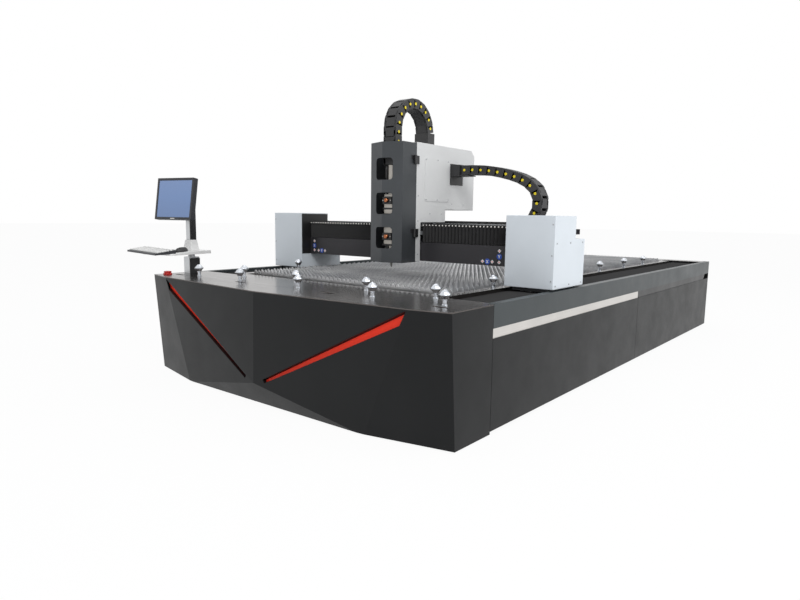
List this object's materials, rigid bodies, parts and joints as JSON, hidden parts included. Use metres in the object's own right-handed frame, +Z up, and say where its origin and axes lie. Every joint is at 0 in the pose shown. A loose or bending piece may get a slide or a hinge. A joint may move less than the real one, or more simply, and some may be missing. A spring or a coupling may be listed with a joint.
{
  "type": "laser cutting machine",
  "caption": "Flat-bed fibre laser cutter: faceted dark bed with a slat table, a travelling gantry with carriage and laser head, drag chains, and a swivelling operator desk with monitor.",
  "frame": {"origin": "on the floor, in the middle of the bed and of its floor anchors", "axes": "+Z up, +Y from the operator's front towards the rear of the bed, +X to the right seen from the front"},
  "size_m": [2.7514, 4.888, 1.8988],
  "materials": {
    "dark_panel": "fine hammered dark grey paint",
    "band_grey": "smooth mid grey paint",
    "deck_steel": "brushed dark steel, semi-gloss",
    "frame_paint": "plain dark grey paint",
    "accent_red": "bright red gloss paint",
    "trim_bright": "brushed",
    "trim_black": "black satin paint",
    "slat_steel": "cut sheet steel",
    "rail_steel": "ground",
    "bellows_cloth": "black coated cloth in folds",
    "cover_paint": "light blue-grey satin paint",
    "box_paint": "light grey satin paint",
    "slate_paint": "slate hammered paint",
    "panel_paint": "dark grey satin paint",
    "black_plastic": "moulded, satin",
    "chrome_ball": "polished",
    "stop_red": "moulded",
    "post_alu": "brushed",
    "white_paint": "white satin paint",
    "key_plastic": "white case with black keys",
    "bezel_plastic": "satin",
    "screen_glass": "glossy, lit blue",
    "head_metal": "machined",
    "motor_black": "black satin paint"
  },
  "bodies": {
    "bed": {"front_cabinet": "dark_panel", "accent_strips": "accent_red", "front_deck": "deck_steel", "rear_deck": "deck_steel", "side_beams": "frame_paint", "cross_beams": "frame_paint", "levelling_feet": "frame_paint", "side_panels_front": "dark_panel", "side_panels_rear": "dark_panel", "rail_guards": "band_grey", "trim_strips_bright": "trim_bright", "trim_strips_black": "trim_black", "rear_panel": "dark_panel", "slat_ledges": "deck_steel", "slats": "slat_steel", "slag_tray": "frame_paint", "y_rails": "rail_steel", "y_racks": "rail_steel", "y_bellows_front": "bellows_cloth", "y_bellows_rear": "bellows_cloth", "ball_unit_bases": "chrome_ball", "ball_unit_heads": "chrome_ball", "estop_collar": "stop_red", "lower_post": "post_alu", "lower_post_cover": "trim_black"},
    "estop": {"estop_button": "stop_red"},
    "station": {"keyboard_tray": "white_paint", "tray_bracket": "white_paint", "upper_post": "post_alu", "upper_post_cover": "trim_black", "keyboard": "key_plastic", "mouse": "black_plastic", "monitor_bracket": "trim_black"},
    "monitor": {"monitor_shell": "bezel_plastic", "monitor_screen": "screen_glass"},
    "gantry": {"gantry_beam": "frame_paint", "beam_panel": "panel_paint", "x_rails": "rail_steel", "x_bellows": "bellows_cloth", "end_covers": "cover_paint", "gantry_saddles": "frame_paint", "y_bearing_blocks": "rail_steel", "y_motors": "motor_black", "x_chain": "black_plastic", "x_chain_tray": "panel_paint"},
    "pinion_left": {"y_pinion_left": "rail_steel"},
    "pinion_right": {"y_pinion_right": "rail_steel"},
    "carriage": {"carriage_box": "box_paint", "access_plate": "box_paint", "x_carriage": "head_metal", "x_bearing_blocks": "rail_steel", "z_rails": "rail_steel", "z_motor": "motor_black", "chain_brackets": "black_plastic", "z_chain": "black_plastic", "hinge_pins": "motor_black"},
    "front_cover": {"head_cover": "slate_paint", "hinge_knuckles": "motor_black"},
    "head": {"z_slide": "head_metal", "laser_head": "head_metal"}
  },
  "joints": [
    {"name": "gantry_travel", "type": "slide", "parent": "bed", "child": "gantry", "axis": [0, 1, 0], "range_m": [0, 3], "deforming": ["y_bellows_front", "y_bellows_rear"]},
    {"name": "carriage_travel", "type": "slide", "parent": "gantry", "child": "carriage", "axis": [1, 0, 0], "range_m": [-0.809, 0.691], "deforming": ["x_bellows", "x_chain"]},
    {"name": "head_lift", "type": "slide", "parent": "carriage", "child": "head", "axis": [0, 0, 1], "range_m": [-0.035, 0.085], "deforming": ["z_chain"]},
    {"name": "cover_swing", "type": "hinge", "parent": "carriage", "child": "front_cover", "pos_m": [0.211, -1.306, 1.188], "axis": [0, 0, 1], "range_deg": [0, 90]},
    {"name": "estop_press", "type": "slide", "parent": "bed", "child": "estop", "axis": [0, 0, 1], "range_m": [-0.006, 0], "stiffness_N_per_m": 1200, "springref_m": 0.004},
    {"name": "station_swivel", "type": "hinge", "parent": "bed", "child": "station", "pos_m": [-1.19, -2.123, 0.812], "axis": [0, 0, 1], "range_deg": [-60, 60]},
    {"name": "monitor_tilt", "type": "hinge", "parent": "station", "child": "monitor", "pos_m": [-1.20121, -2.1857, 1.19], "axis": [0.9781, 0.2079, 0], "range_deg": [-15, 20]},
    {"name": "pinion_left_spin", "type": "hinge", "parent": "gantry", "child": "pinion_left", "pos_m": [-1.0567, -1.23, 0.6], "axis": [0, 0, 1], "continuous": true},
    {"name": "pinion_right_spin", "type": "hinge", "parent": "gantry", "child": "pinion_right", "pos_m": [1.0567, -1.23, 0.6], "axis": [0, 0, 1], "continuous": true}
  ],
  "couplings": [
    {"joint": "pinion_right_spin", "follows": "gantry_travel", "rad_per_m": -30.303},
    {"joint": "pinion_left_spin", "follows": "gantry_travel", "rad_per_m": 30.303}
  ]
}
